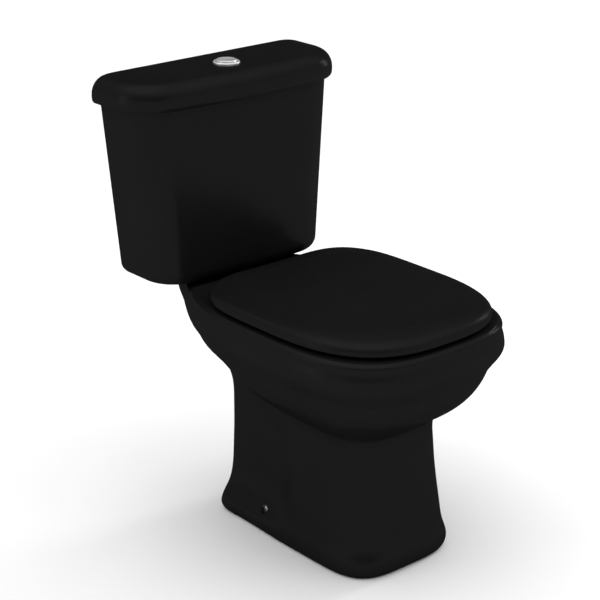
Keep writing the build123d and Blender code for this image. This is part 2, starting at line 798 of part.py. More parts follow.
RING_PROFILE = [(0.0, 0.0), (0.0, 0.25), (0.9, 0.53), (3.6, 0.82), (9.0, 1.0)]
RING_HOLE_PROFILE = [(4.5, 1.1), (2.6, 0.92), (0.7, 0.72), (0.0, 0.5), (0.6, 0.2), (2.0, -0.1)]
COVER_PROFILE = [
    (0.0, 0.0),
    (0.0, 0.2),
    (1.2, 0.42),
    (4.6, 0.64),
    (10.0, 0.8),
    (17.0, 0.895),
    (27.0, 0.955),
    (36.0, 1.0),
    (40.0, 1.0),
    (44.0, 0.968),
    (48.0, 0.955),
]
COVER_FLAT_ROW = 7
NOTCH_HALF_WIDTH = HINGE_POST_WIDTH / 2 + HINGE_SIDE_GAP + HINGE_LUG_WIDTH + HINGE_SIDE_GAP
SEAT_BUFFER_PLACES = [
    (RIM_HALF_WIDTH * 0.51, between(PAN_NOSE, WIDEST_Y, 0.265)),
    (RIM_HALF_WIDTH * 0.69, between(WIDEST_Y, SEAT_BACK, 0.53)),
]
COVER_BUFFER_PLACES = [
    (RIM_HALF_WIDTH * 0.36, between(PAN_NOSE, WIDEST_Y, 0.365)),
    (RIM_HALF_WIDTH * 0.615, between(WIDEST_Y, SEAT_BACK, 0.487)),
]


def hinge_bar(low, high, side, radius):
    """A cylinder on the hinge line, placed from one hinge's middle outwards."""
    ends = sorted((side * (HINGE_X + low), side * (HINGE_X + high)))
    return bar_x(ends[0], ends[1], HINGE_Y, HINGE_Z, radius)


def make_seat_ring():
    """The seat ring: an open middle, hinge notches and lugs, rear corners clear of the cover's skirt."""
    edge = COVER_WALL + COVER_SIDE_GAP
    ring = smooth_loft(
        [(seat_outline(edge + inset), SEAT_BASE + rise * RING_THICKNESS) for inset, rise in RING_PROFILE]
    )
    hole = smooth_loft(
        [
            (
                oval_outline(RING_HOLE_HALF_WIDTH + grow, RING_HOLE_FRONT - grow, RING_HOLE_BACK + grow),
                SEAT_BASE + rise * RING_THICKNESS,
            )
            for grow, rise in RING_HOLE_PROFILE
        ]
    )
    ring -= hole
    lug_end = NOTCH_HALF_WIDTH + HINGE_LUG_WIDTH
    skirt_swing = math.hypot(SEAT_BACK - HINGE_Y, HINGE_Z - SEAT_BASE)
    corner_front = HINGE_Y - skirt_swing - HINGE_SIDE_GAP
    for side in (1, -1):
        for low, high in ((-lug_end, -NOTCH_HALF_WIDTH), (NOTCH_HALF_WIDTH, lug_end)):
            ring += hinge_bar(low, high, side, HINGE_BARREL)
        notch_front = HINGE_Y - HINGE_BARREL - HINGE_SIDE_GAP
        ring -= block(
            (side * HINGE_X - NOTCH_HALF_WIDTH, notch_front, SEAT_BASE - OUTSIDE),
            (side * HINGE_X + NOTCH_HALF_WIDTH, SEAT_BACK, RING_TOP + OUTSIDE),
        )
        ring -= hinge_bar(-lug_end - OUTSIDE, lug_end + OUTSIDE, side, HINGE_PIN + HINGE_RUNNING_GAP)
        corner = sorted((side * (HINGE_X + lug_end), side * RIM_HALF_WIDTH))
        ring -= block(
            (corner[0], corner_front, SEAT_BASE - OUTSIDE),
            (corner[1], SEAT_BACK, RING_TOP + OUTSIDE),
        )
    return one_solid(ring)


def make_cover():
    """The cover: a domed shell that wraps the ring, cut away behind for the hinge."""
    height = COVER_TOP - SEAT_BASE
    cover = smooth_loft([(seat_outline(inset), SEAT_BASE + rise * height) for inset, rise in COVER_PROFILE])
    inner = [
        (seat_outline(inset + COVER_WALL), SEAT_BASE + rise * height - COVER_WALL)
        for inset, rise in COVER_PROFILE[: COVER_FLAT_ROW + 1]
    ]
    cover -= smooth_loft(inner)
    barrel_top = HINGE_Z + HINGE_BARREL + HINGE_SIDE_GAP / 2
    cut_half = HINGE_X + NOTCH_HALF_WIDTH + HINGE_LUG_WIDTH + HINGE_SIDE_GAP
    cover -= block(
        (-cut_half, HINGE_Y - 2 * HINGE_BARREL, SEAT_BASE - COVER_WALL),
        (cut_half, SEAT_BACK + OUTSIDE, barrel_top),
    )
    lug_low = HINGE_POST_WIDTH / 2 + HINGE_SIDE_GAP
    lug_high = lug_low + HINGE_LUG_WIDTH
    for side in (1, -1):
        for low, high in ((-lug_high, -lug_low), (lug_low, lug_high)):
            cover += hinge_bar(low, high, side, HINGE_BARREL)
            cover += block(
                (side * HINGE_X + low, HINGE_Y - HINGE_BARREL, HINGE_Z),
                (side * HINGE_X + high, HINGE_Y, barrel_top + HINGE_SIDE_GAP),
            )
        cover -= hinge_bar(-lug_high - OUTSIDE, lug_high + OUTSIDE, side, HINGE_PIN + HINGE_RUNNING_GAP)
    return one_solid(cover)


def make_pads(places, low, high, radius):
    """Round rubber pads on both sides."""
    pads = []
    for x, y in places:
        pads += both_sides(lambda side: post(side * x, y, low, high, radius))
    return group(pads)


def make_hinge_post(side):
    """One hinge post: a round base on the rim, a stem and the barrel that holds the pin."""
    x = side * HINGE_X
    half = HINGE_POST_WIDTH / 2
    body = post(x, HINGE_Y, RIM_HEIGHT, RIM_HEIGHT + HINGE_BASE_HEIGHT, HINGE_BASE)
    stem_front = HINGE_Y - HINGE_BARREL
    stem_back = HINGE_Y + HINGE_BARREL
    body += block((x - half, stem_front, RIM_HEIGHT), (x + half, stem_back, HINGE_Z))
    body += hinge_bar(-half, half, side, HINGE_BARREL)
    body -= hinge_bar(-half - OUTSIDE, half + OUTSIDE, side, HINGE_PIN + HINGE_RUNNING_GAP / 2)
    return body - post(x, HINGE_Y, RIM_HEIGHT - OUTSIDE, RIM_HEIGHT + HINGE_BASE_HEIGHT, HINGE_SCREW)


def make_hinge_pin(side):
    """One hinge pin through post, cover lugs and ring lugs."""
    end = NOTCH_HALF_WIDTH + HINGE_LUG_WIDTH
    return hinge_bar(-end, end, side, HINGE_PIN)


def make_hinge_screw(side):
    """One screw down from the post, with a wide foot that spreads the plug."""
    x = side * HINGE_X
    foot = RIM_HEIGHT - RIM_SOLID_DEPTH
    screw = post(x, HINGE_Y, foot, RIM_HEIGHT + HINGE_BASE_HEIGHT, HINGE_SCREW)
    return screw + post(x, HINGE_Y, foot, foot + HINGE_BASE_HEIGHT, HINGE_HOLE - 2 * HINGE_PLUG_GAP)


def make_hinge_plug(side):
    """One rubber plug round the screw, in the rim's hole."""
    low = RIM_HEIGHT - RIM_SOLID_DEPTH + HINGE_BASE_HEIGHT
    return tube(side * HINGE_X, HINGE_Y, low, RIM_HEIGHT, HINGE_HOLE - HINGE_PLUG_GAP, HINGE_SCREW)


# Coupling and cistern bolts

BOLT_HEAD_RADIUS = 9.0
BOLT_HEAD_HEIGHT = 6.0
BOLT_RUBBER_RADIUS = 13.0
BOLT_RUBBER_HEIGHT = 5.0
BOLT_WASHER_RADIUS = 12.0
BOLT_WASHER_HEIGHT = 2.0
WING_HUB_RADIUS = 7.0
WING_HUB_HEIGHT = 8.0
WING_REACH = 15.0
WING_THICKNESS = 3.0
WING_RISE = 7.0
BOLT_TIP = 8.0
DECK_UNDERSIDE = DECK_HEIGHT - DECK_THICKNESS
WING_TOP = DECK_UNDERSIDE - BOLT_WASHER_HEIGHT
WING_LOW = WING_TOP - WING_HUB_HEIGHT


def make_tank_bolt(side):
    """One cistern bolt, head in the tank, tip below the deck."""
    x = side * TANK_BOLT_X
    head_low = TANK_FLOOR_TOP + BOLT_RUBBER_HEIGHT
    bolt = post(x, VALVE_Y, WING_LOW - BOLT_TIP, head_low, TANK_BOLT_RADIUS)
    return bolt + post(x, VALVE_Y, head_low, head_low + BOLT_HEAD_HEIGHT, BOLT_HEAD_RADIUS)


def make_bolt_rubber(side):
    """One rubber washer under a bolt head."""
    high = TANK_FLOOR_TOP + BOLT_RUBBER_HEIGHT
    return tube(side * TANK_BOLT_X, VALVE_Y, TANK_FLOOR_TOP, high, BOLT_RUBBER_RADIUS, TANK_BOLT_RADIUS)


def make_bolt_washer(side):
    """One steel washer under the deck."""
    return tube(side * TANK_BOLT_X, VALVE_Y, WING_TOP, DECK_UNDERSIDE, BOLT_WASHER_RADIUS, TANK_BOLT_RADIUS)


def make_wing_nut(side):
    """One wing nut under the deck."""
    x = side * TANK_BOLT_X
    nut = post(x, VALVE_Y, WING_LOW, WING_TOP, WING_HUB_RADIUS)
    half = WING_THICKNESS / 2
    nut += block(
        (x - half, VALVE_Y - WING_REACH, WING_LOW - WING_RISE + WING_HUB_HEIGHT / 2),
        (x + half, VALVE_Y + WING_REACH, WING_LOW + WING_HUB_HEIGHT / 2),
    )
    return nut - post(x, VALVE_Y, WING_LOW - 2 * OUTSIDE, WING_TOP + OUTSIDE, TANK_BOLT_RADIUS)


COUPLING_GASKET_GAP = 0.5


def make_coupling_gasket():
    """The thick rubber ring round the backnut, between cistern and pan."""
    outer = INLET_RECESS - COUPLING_GASKET_GAP
    inner = VALVE_NUT_RADIUS + COUPLING_GASKET_GAP
    return tube(0, VALVE_Y, INLET_FLOOR, TANK_BASE, outer, inner)


# Flush valve

VALVE_FLANGE_LOW = TANK_FLOOR_TOP + VALVE_GASKET
VALVE_SEAT = VALVE_FLANGE_LOW + VALVE_FLANGE_HEIGHT
CAGE_TOP = VALVE_SEAT + CAGE_HEIGHT
COLLAR_TOP = CAGE_TOP + CAGE_COLLAR_HEIGHT
SPINDLE_TOP = VALVE_SEAT + SPINDLE_LENGTH
LEVER_Z = SPINDLE_TOP + LEVER_ABOVE_SPINDLE
LEVER_TOP = LEVER_Z + LEVER_THICKNESS / 2
ROD_LOW = LEVER_TOP + LIFT_GAP
ROD_X = LEVER_X - LEVER_ARM
CAGE_POST_COUNT = 4


def make_valve_body():
    """The valve body: tail through the floor, flange, cage, collar and lever bracket."""
    tail_low = TANK_BASE - VALVE_TAIL_LENGTH
    bore = VALVE_TAIL - VALVE_TAIL_WALL
    body = post(0, VALVE_Y, tail_low, VALVE_SEAT, VALVE_TAIL)
    body += post(0, VALVE_Y, VALVE_FLANGE_LOW, VALVE_SEAT, VALVE_FLANGE)
    body -= post(0, VALVE_Y, tail_low - OUTSIDE, VALVE_SEAT + OUTSIDE, bore)
    ring = CAGE_RADIUS - CAGE_POST_INSET - CAGE_POST / 2
    for i in range(CAGE_POST_COUNT):
        turn = math.pi * (2 * i + 1) / CAGE_POST_COUNT
        x = ring * math.cos(turn)
        y = VALVE_Y + ring * math.sin(turn)
        body += post(x, y, VALVE_SEAT, CAGE_TOP, CAGE_POST / 2)
    body += tube(0, VALVE_Y, CAGE_TOP, COLLAR_TOP, CAGE_RADIUS, SPINDLE_RADIUS + SPINDLE_GAP)
    near = LEVER_HALF_WIDTH + LEVER_SIDE_GAP
    far = near + BRACKET_THICKNESS
    half = BRACKET_WIDTH / 2
    for low, high in ((near, far), (-far, -near)):
        body += block(
            (LEVER_X - half, VALVE_Y + low, COLLAR_TOP),
            (LEVER_X + half, VALVE_Y + high, LEVER_Z + half),
        )
    return one_solid(body - bar_y(LEVER_X, VALVE_Y - 2 * far, VALVE_Y + 2 * far, LEVER_Z, LEVER_PIN))


def make_lever_pin():
    """The pin that the lift lever rocks on."""
    end = LEVER_HALF_WIDTH + LEVER_SIDE_GAP + BRACKET_THICKNESS
    return bar_y(LEVER_X, VALVE_Y - end, VALVE_Y + end, LEVER_Z, LEVER_PIN)


def make_lift_lever():
    """The rocking lever: the rod presses one end, the other end lifts the spindle."""
    half = LEVER_THICKNESS / 2
    lever = block(
        (LEVER_X - LEVER_ARM - LEVER_INNER_TIP, VALVE_Y - LEVER_HALF_WIDTH, LEVER_Z - half),
        (LEVER_X + LEVER_ARM + LEVER_OUTER_TIP, VALVE_Y + LEVER_HALF_WIDTH, LEVER_Z + half),
    )
    lever += bar_y(LEVER_X, VALVE_Y - LEVER_HALF_WIDTH, VALVE_Y + LEVER_HALF_WIDTH, LEVER_Z, LEVER_BARREL)
    hole = LEVER_PIN + LEVER_RUNNING_GAP
    return lever - bar_y(LEVER_X, VALVE_Y - LEVER_BARREL, VALVE_Y + LEVER_BARREL, LEVER_Z, hole)


SPINDLE_FLANGE_HEIGHT = 4.0
HOOK_INNER_REACH = 3.0
HOOK_POST_GAP = 3.0


def make_spindle():
    """The hollow spindle and overflow, with the arm that hooks over the lever's end."""
    seal_top = VALVE_SEAT + SEAL_HEIGHT
    spindle = post(0, VALVE_Y, VALVE_SEAT, SPINDLE_TOP, SPINDLE_RADIUS)
    spindle += post(0, VALVE_Y, seal_top, seal_top + SPINDLE_FLANGE_HEIGHT, SEAL_RADIUS)
    half = LEVER_HALF_WIDTH - LEVER_SIDE_GAP
    arm_low = SPINDLE_TOP - 2 * LIFT_BAR
    hook_low = LEVER_TOP + LIFT_GAP
    post_x = LEVER_X + LEVER_ARM + LEVER_OUTER_TIP + HOOK_POST_GAP
    arm_end = post_x + LIFT_BAR
    front = VALVE_Y - half
    back = VALVE_Y + half
    hook_top = hook_low + LIFT_BAR
    spindle += block((0, front, arm_low), (arm_end, back, arm_low + LIFT_BAR))
    spindle += block((post_x, front, arm_low), (arm_end, back, hook_top))
    spindle += block((LEVER_X + LEVER_ARM - HOOK_INNER_REACH, front, hook_low), (arm_end, back, hook_top))
    bore = SPINDLE_RADIUS - SPINDLE_WALL
    return one_solid(spindle - post(0, VALVE_Y, VALVE_SEAT - OUTSIDE, SPINDLE_TOP + OUTSIDE, bore))


def make_flush_seal():
    """The rubber seal under the spindle's flange."""
    return tube(0, VALVE_Y, VALVE_SEAT, VALVE_SEAT + SEAL_HEIGHT, SEAL_RADIUS, SPINDLE_RADIUS)


def make_valve_gasket():
    """The rubber ring under the valve's flange."""
    return tube(0, VALVE_Y, TANK_FLOOR_TOP, VALVE_FLANGE_LOW, VALVE_FLANGE, VALVE_TAIL)


def make_valve_nut():
    """The backnut that clamps the valve to the cistern's floor."""
    return hex_ring(0, VALVE_Y, TANK_BASE - VALVE_NUT_HEIGHT, TANK_BASE, VALVE_NUT_RADIUS, VALVE_TAIL)


# Fill valve

FILL_FLANGE_LOW = TANK_FLOOR_TOP + VALVE_GASKET
FILL_TOWER_LOW = FILL_FLANGE_LOW + FILL_FLANGE_HEIGHT
FILL_TOWER_TOP = FILL_TOWER_LOW + FILL_TOWER_HEIGHT
FLOAT_REST = TANK_FLOOR_TOP + FILL_STOP_HEIGHT + FILL_STOP_THICKNESS
FILL_BORE = 6.0
FILL_NOZZLE = 4.0
FILL_NOZZLE_REACH = 14.0


def make_fill_body():
    """The fill valve's threaded shank, flange, tower and the stop its float rests on."""
    shank_low = TANK_BASE - FILL_SHANK_LENGTH
    body = post(FILL_X, FILL_Y, shank_low, TANK_BASE, FILL_THREAD)
    body += post(FILL_X, FILL_Y, TANK_BASE - FILL_NUT_HEIGHT, FILL_FLANGE_LOW, FILL_SHANK)
    body += post(FILL_X, FILL_Y, FILL_FLANGE_LOW, FILL_TOWER_LOW, FILL_FLANGE)
    body += post(FILL_X, FILL_Y, FILL_TOWER_LOW, FILL_TOWER_TOP, FILL_TOWER)
    body += post(FILL_X, FILL_Y, FLOAT_REST - FILL_STOP_THICKNESS, FLOAT_REST, FILL_STOP_RADIUS)
    return one_solid(body - post(FILL_X, FILL_Y, shank_low - OUTSIDE, FILL_TOWER_TOP - OUTSIDE, FILL_BORE))


def make_fill_cap():
    """The cap on the fill valve, with a side nozzle."""
    cap = post(FILL_X, FILL_Y, FILL_TOWER_TOP, FILL_TOWER_TOP + FILL_CAP_HEIGHT, FILL_CAP)
    cap = fillet(cap.edges().group_by(Axis.Z)[-1], FILL_CAP / 4)
    nozzle_z = FILL_TOWER_TOP + FILL_CAP_HEIGHT / 2
    return cap + bar_x(FILL_X - FILL_CAP - FILL_NOZZLE_REACH, FILL_X, FILL_Y, nozzle_z, FILL_NOZZLE)


def make_float():
    """The float: a ring that slides up the tower as the water rises."""
    bore = FILL_TOWER + FLOAT_GAP
    return tube(FILL_X, FILL_Y, FLOAT_REST, FLOAT_REST + FLOAT_HEIGHT, FLOAT_RADIUS, bore)


def make_fill_gasket():
    """The rubber ring under the fill valve's flange."""
    return tube(FILL_X, FILL_Y, TANK_FLOOR_TOP, FILL_FLANGE_LOW, FILL_FLANGE, FILL_SHANK)


def make_fill_nut():
    """The backnut on the fill valve's shank."""
    return hex_ring(FILL_X, FILL_Y, TANK_BASE - FILL_NUT_HEIGHT, TANK_BASE, FILL_NUT_RADIUS, FILL_SHANK)


# Push button

BUTTON_TOP = LID_TOP + BUTTON_COLLAR_HEIGHT + BUTTON_PROUD
BUTTON_RADIUS = BUTTON_SLEEVE - BUTTON_SLEEVE_WALL - BUTTON_GAP
BUTTON_LOW = BUTTON_TOP - BUTTON_SKIRT
CAP_UNDERSIDE = BUTTON_TOP - 2 * BUTTON_WALL
SLEEVE_LOW = LID_TOP - BUTTON_SLEEVE_LENGTH
LEDGE_TOP = SLEEVE_LOW + BUTTON_SLEEVE_WALL
LEDGE_BORE = 11.0
COLLAR_ROUND = 1.8
BUTTON_ROUND = 1.2
BUTTON_DISH = 90.0
BUTTON_DISH_DEPTH = 1.2
COLLAR_NUT_RADIUS = 25.0
COLLAR_NUT_HEIGHT = 7.0


def make_collar():
    """The bright collar: a flange on the lid, a sleeve through it and a ledge for the spring."""
    top = LID_TOP + BUTTON_COLLAR_HEIGHT
    flange = post(0, VALVE_Y, LID_TOP, top, BUTTON_COLLAR)
    flange = fillet(flange.edges().group_by(Axis.Z)[-1], COLLAR_ROUND)
    collar = flange + post(0, VALVE_Y, SLEEVE_LOW, top, BUTTON_SLEEVE)
    collar -= post(0, VALVE_Y, LEDGE_TOP, top + OUTSIDE, BUTTON_SLEEVE - BUTTON_SLEEVE_WALL)
    return one_solid(collar - post(0, VALVE_Y, SLEEVE_LOW - OUTSIDE, top, LEDGE_BORE))


def make_collar_nut():
    """The nut that holds the collar from below."""
    high = LID_TOP - LID_TOP_WALL
    return hex_ring(0, VALVE_Y, high - COLLAR_NUT_HEIGHT, high, COLLAR_NUT_RADIUS, BUTTON_SLEEVE)


def make_button():
    """The push button: a dished cap with a skirt."""
    button = post(0, VALVE_Y, BUTTON_LOW, BUTTON_TOP, BUTTON_RADIUS)
    button = fillet(button.edges().group_by(Axis.Z)[-1], BUTTON_ROUND)
    button -= post(0, VALVE_Y, BUTTON_LOW - OUTSIDE, CAP_UNDERSIDE, BUTTON_RADIUS - BUTTON_WALL)
    return button - Pos(0, VALVE_Y, BUTTON_TOP + BUTTON_DISH - BUTTON_DISH_DEPTH) * Sphere(BUTTON_DISH)


def make_push_rod():
    """The rod from the button down to the lift lever, with a narrow tip."""
    rod = post(ROD_X, VALVE_Y, ROD_LOW + ROD_TIP_LENGTH, CAP_UNDERSIDE, ROD_RADIUS)
    return rod + post(ROD_X, VALVE_Y, ROD_LOW, ROD_LOW + ROD_TIP_LENGTH, ROD_TIP)


SPRING_END_GAP = 0.2
QUARTERS = 4
WIRE_SIDES = 8


def make_spring():
    """The coil spring between the collar's ledge and the button's cap."""
    low = LEDGE_TOP + SPRING_WIRE + SPRING_END_GAP
    high = CAP_UNDERSIDE - SPRING_WIRE - SPRING_END_GAP
    steps = SPRING_TURNS * QUARTERS

    def coil(step):
        turn = 2 * math.pi * step / QUARTERS
        x = SPRING_RADIUS * math.cos(turn)
        y = VALVE_Y + SPRING_RADIUS * math.sin(turn)
        return Vector(x, y, low + (high - low) * step / steps)

    arcs = [Edge.make_three_point_arc(coil(i), coil(i + 0.5), coil(i + 1)) for i in range(steps)]
    path = Wire(arcs)
    section = Plane(path @ 0, z_dir=path % 0) * RegularPolygon(SPRING_WIRE, WIRE_SIDES)
    return one_solid(sweep(section, path))


# Floor fixing


def make_bracket(side):
    """One angle bracket inside the foot, for a screw into the floor."""
    inner = BRACKET_FACE_X - BRACKET_PLATE
    tip = FLOOR_HOLE_X - FLOOR_HOLE_MARGIN
    low_y = FIXING_Y - BRACKET_HALF_LENGTH
    high_y = FIXING_Y + BRACKET_HALF_LENGTH
    xs = sorted((side * inner, side * BRACKET_FACE_X))
    bracket = block((xs[0], low_y, 0), (xs[1], high_y, BRACKET_HEIGHT))
    xs = sorted((side * tip, side * BRACKET_FACE_X))
    bracket += block((xs[0], low_y, 0), (xs[1], high_y, BRACKET_PLATE))
    bracket -= post(side * FLOOR_HOLE_X, FIXING_Y, -OUTSIDE, BRACKET_PLATE + OUTSIDE, BRACKET_FLOOR_HOLE)
    xs = sorted((side * tip, side * FOOT_HALF_WIDTH))
    return bracket - bar_x(xs[0], xs[1], FIXING_Y, FIXING_HEIGHT, FIXING_SCREW)


def make_fixing_screw(side):
    """One screw through the foot into its bracket."""
    seat = FIXING_SEAT_X + FIXING_CUP_WALL
    xs = sorted((side * FIXING_SCREW_END, side * seat))
    screw = bar_x(xs[0], xs[1], FIXING_Y, FIXING_HEIGHT, FIXING_SCREW)
    xs = sorted((side * seat, side * (seat + FIXING_SCREW_HEAD_HEIGHT)))
    return screw + bar_x(xs[0], xs[1], FIXING_Y, FIXING_HEIGHT, FIXING_SCREW_HEAD)


FIXING_CUP_GAP = 0.1


def make_screw_cup(side):
    """One trim cup in the foot's recess, under the screw's head."""
    end = FIXING_SEAT_X + FIXING_CUP_DEPTH
    xs = sorted((side * FIXING_SEAT_X, side * end))
    cup = bar_x(xs[0], xs[1], FIXING_Y, FIXING_HEIGHT, FIXING_CUP - FIXING_CUP_GAP)
    xs = sorted((side * (FIXING_SEAT_X + FIXING_CUP_WALL), side * (end + OUTSIDE)))
    cup -= bar_x(xs[0], xs[1], FIXING_Y, FIXING_HEIGHT, FIXING_CUP - FIXING_CUP_WALL)
    xs = sorted((side * FIXING_SCREW_END, side * end))
    return cup - bar_x(xs[0], xs[1], FIXING_Y, FIXING_HEIGHT, FIXING_SCREW)


def make_all():
    """Every node by name."""
    return split_pan() | {
        "cistern_tank": make_tank(),
        "cistern_lid": make_lid(),
        "seat_ring": make_seat_ring(),
        "seat_cover": make_cover(),
        "seat_buffers": make_pads(SEAT_BUFFER_PLACES, RIM_HEIGHT, SEAT_BASE, BUFFER_RADIUS),
        "cover_buffers": make_pads(COVER_BUFFER_PLACES, RING_TOP, COVER_UNDERSIDE, COVER_BUFFER_RADIUS),
        "hinge_posts": group(both_sides(make_hinge_post)),
        "hinge_pins": group(both_sides(make_hinge_pin)),
        "hinge_screws": group(both_sides(make_hinge_screw)),
        "hinge_plugs": group(both_sides(make_hinge_plug)),
        "coupling_gasket": make_coupling_gasket(),
        "tank_bolts": group(both_sides(make_tank_bolt)),
        "tank_bolt_rubbers": group(both_sides(make_bolt_rubber)),
        "tank_bolt_washers": group(both_sides(make_bolt_washer)),
        "tank_wing_nuts": group(both_sides(make_wing_nut)),
        "flush_valve_body": make_valve_body(),
        "flush_valve_gasket": make_valve_gasket(),
        "flush_valve_nut": make_valve_nut(),
        "flush_spindle": make_spindle(),
        "flush_seal": make_flush_seal(),
        "lift_lever": make_lift_lever(),
        "lever_pin": make_lever_pin(),
        "fill_valve_body": make_fill_body(),
        "fill_valve_cap": make_fill_cap(),
        "fill_valve_float": make_float(),
        "fill_valve_gasket": make_fill_gasket(),
        "fill_valve_nut": make_fill_nut(),
        "button_collar": make_collar(),
        "button_collar_nut": make_collar_nut(),
        "push_button": make_button(),
        "push_rod": make_push_rod(),
        "button_spring": make_spring(),
        "floor_brackets": group(both_sides(make_bracket)),
        "fixing_screws": group(both_sides(make_fixing_screw)),
        "fixing_cups": group(both_sides(make_screw_cup)),
    }


if __name__ == "__main__":
    os.makedirs("parts", exist_ok=True)
    for name, shape in make_all().items():
        export_step(shape, f"parts/{name}.step")
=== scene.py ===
import bpy
import json
import math
from mathutils import Matrix, Vector


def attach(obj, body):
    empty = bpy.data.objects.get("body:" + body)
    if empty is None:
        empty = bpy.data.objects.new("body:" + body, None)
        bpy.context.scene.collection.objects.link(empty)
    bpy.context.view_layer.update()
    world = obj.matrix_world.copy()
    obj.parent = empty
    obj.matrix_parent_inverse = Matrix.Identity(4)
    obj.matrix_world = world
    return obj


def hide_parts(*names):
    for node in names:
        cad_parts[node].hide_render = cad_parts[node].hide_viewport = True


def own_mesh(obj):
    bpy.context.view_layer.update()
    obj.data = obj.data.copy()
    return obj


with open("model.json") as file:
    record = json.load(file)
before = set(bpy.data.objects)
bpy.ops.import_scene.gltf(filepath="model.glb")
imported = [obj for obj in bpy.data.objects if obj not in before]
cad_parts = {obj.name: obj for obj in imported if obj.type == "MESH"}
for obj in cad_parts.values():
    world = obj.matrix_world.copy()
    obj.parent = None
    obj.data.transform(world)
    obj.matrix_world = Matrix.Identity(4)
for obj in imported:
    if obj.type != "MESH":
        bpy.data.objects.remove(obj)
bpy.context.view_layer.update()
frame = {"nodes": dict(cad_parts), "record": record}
scene = bpy.context.scene
nodes = frame["nodes"]
slot_of = {row["node"]: row["material_slot"] for row in frame["record"]["subparts"]}

# Camera, fitted to the photograph's outlines
AZIMUTH = math.radians(-40.4)
ELEVATION = math.radians(21.1)
TARGET = Vector((0.0, 0.094, 0.3603))
DISTANCE = 2.999
SENSOR = 36.0
LENS = 108.82
SHIFT_X = 0.0324
SHIFT_Y = 0.0009
VIEW_RIGHT = Vector((math.cos(AZIMUTH), math.sin(AZIMUTH), 0.0))

# Noise: the part of its range that is used, and how much finer roughness is than colour
NOISE_LOW = 0.3
NOISE_HIGH = 0.7
NOISE_DETAIL = 3.0
ROUGHNESS_FINER = 2.3
EVEN = (1.0, 1.0, 1.0)
BRUSHED = (1.0, 1.0, 12.0)

# Bumps: scale of the noise, strength and height in metres
GLAZE_WAVES = (55.0, 0.02, 0.0008)
RUBBER_GRAIN = (400.0, 0.15, 0.0004)
PLASTIC_GRAIN = (300.0, 0.05, 0.0003)
BLACK_PLASTIC_GRAIN = (300.0, 0.08, 0.0003)

# Black surfaces
SHEEN_WEIGHT = 0.014
SHEEN_IOR = 4.0
BLACK_ROUGHNESS = 0.6

# Greys: blue as a multiple of red and green
COOL = 1.02

# Floor
FLOOR_SIZE = 60.0
FLOOR_HEIGHT = -0.0005
FLOOR_NOISE = 3.0
FLOOR_DARK = (0.9, 0.9, 0.9)
FLOOR_LIGHT = (0.92, 0.92, 0.92)

# Studio: brightness, and the height and sideways part of a direction at which it changes
BACKDROP = 1.0
BACKDROP_TOP = 0.1
BACKDROP_GONE = 0.2
STUDIO_DIM = 0.1
STUDIO_SIDES = 0.75
SIDES_START = 0.35
SIDES_FULL = 0.95
STUDIO_TOP = 1.25
TOP_START = 0.4
TOP_FULL = 0.9


# Materials: each one is worked out from noise in object space, so nothing is a flat colour

def new_material(name):
    """A material with its node tree and shader."""
    material = bpy.data.materials.new(name)
    material.use_nodes = True
    tree = material.node_tree
    return material, tree, tree.nodes["Principled BSDF"]


def object_noise(tree, scale, stretch=EVEN):
    """A noise value from 0 to 1 in object space."""
    coord = tree.nodes.new("ShaderNodeTexCoord")
    mapping = tree.nodes.new("ShaderNodeMapping")
    mapping.inputs["Scale"].default_value = stretch
    noise = tree.nodes.new("ShaderNodeTexNoise")
    noise.inputs["Scale"].default_value = scale
    noise.inputs["Detail"].default_value = NOISE_DETAIL
    tree.links.new(coord.outputs["Object"], mapping.inputs["Vector"])
    tree.links.new(mapping.outputs["Vector"], noise.inputs["Vector"])
    return noise.outputs["Fac"]


def vary(tree, value, low, high, socket):
    """Drives a number socket from low to high."""
    spread = tree.nodes.new("ShaderNodeMapRange")
    spread.inputs["From Min"].default_value = NOISE_LOW
    spread.inputs["From Max"].default_value = NOISE_HIGH
    spread.inputs["To Min"].default_value = low
    spread.inputs["To Max"].default_value = high
    tree.links.new(value, spread.inputs["Value"])
    tree.links.new(spread.outputs["Result"], socket)


def tint(tree, value, dark, light, socket):
    """Drives a colour socket between two close tones."""
    ramp = tree.nodes.new("ShaderNodeValToRGB")
    ramp.color_ramp.elements[0].position = NOISE_LOW
    ramp.color_ramp.elements[0].color = (*dark, 1.0)
    ramp.color_ramp.elements[1].position = NOISE_HIGH
    ramp.color_ramp.elements[1].color = (*light, 1.0)
    tree.links.new(value, ramp.inputs["Fac"])
    tree.links.new(ramp.outputs["Color"], socket)


def bump(tree, bumps, socket, stretch=EVEN):
    """Raises the surface by noise."""
    scale, strength, distance = bumps
    node = tree.nodes.new("ShaderNodeBump")
    node.inputs["Strength"].default_value = strength
    node.inputs["Distance"].default_value = distance
    tree.links.new(object_noise(tree, scale, stretch), node.inputs["Height"])
    tree.links.new(node.outputs["Normal"], socket)


def surface(name, dark, light, rough, scale, metallic=0.0, bumps=None, stretch=EVEN):
    """A metal, plastic or rubber."""
    material, tree, shader = new_material(name)
    shader.inputs["Metallic"].default_value = metallic
    tint(tree, object_noise(tree, scale, stretch), dark, light, shader.inputs["Base Color"])
    fine_noise = object_noise(tree, scale * ROUGHNESS_FINER, stretch)
    vary(tree, fine_noise, rough[0], rough[1], shader.inputs["Roughness"])
    if bumps:
        bump(tree, bumps, shader.inputs["Normal"], stretch)
    return material


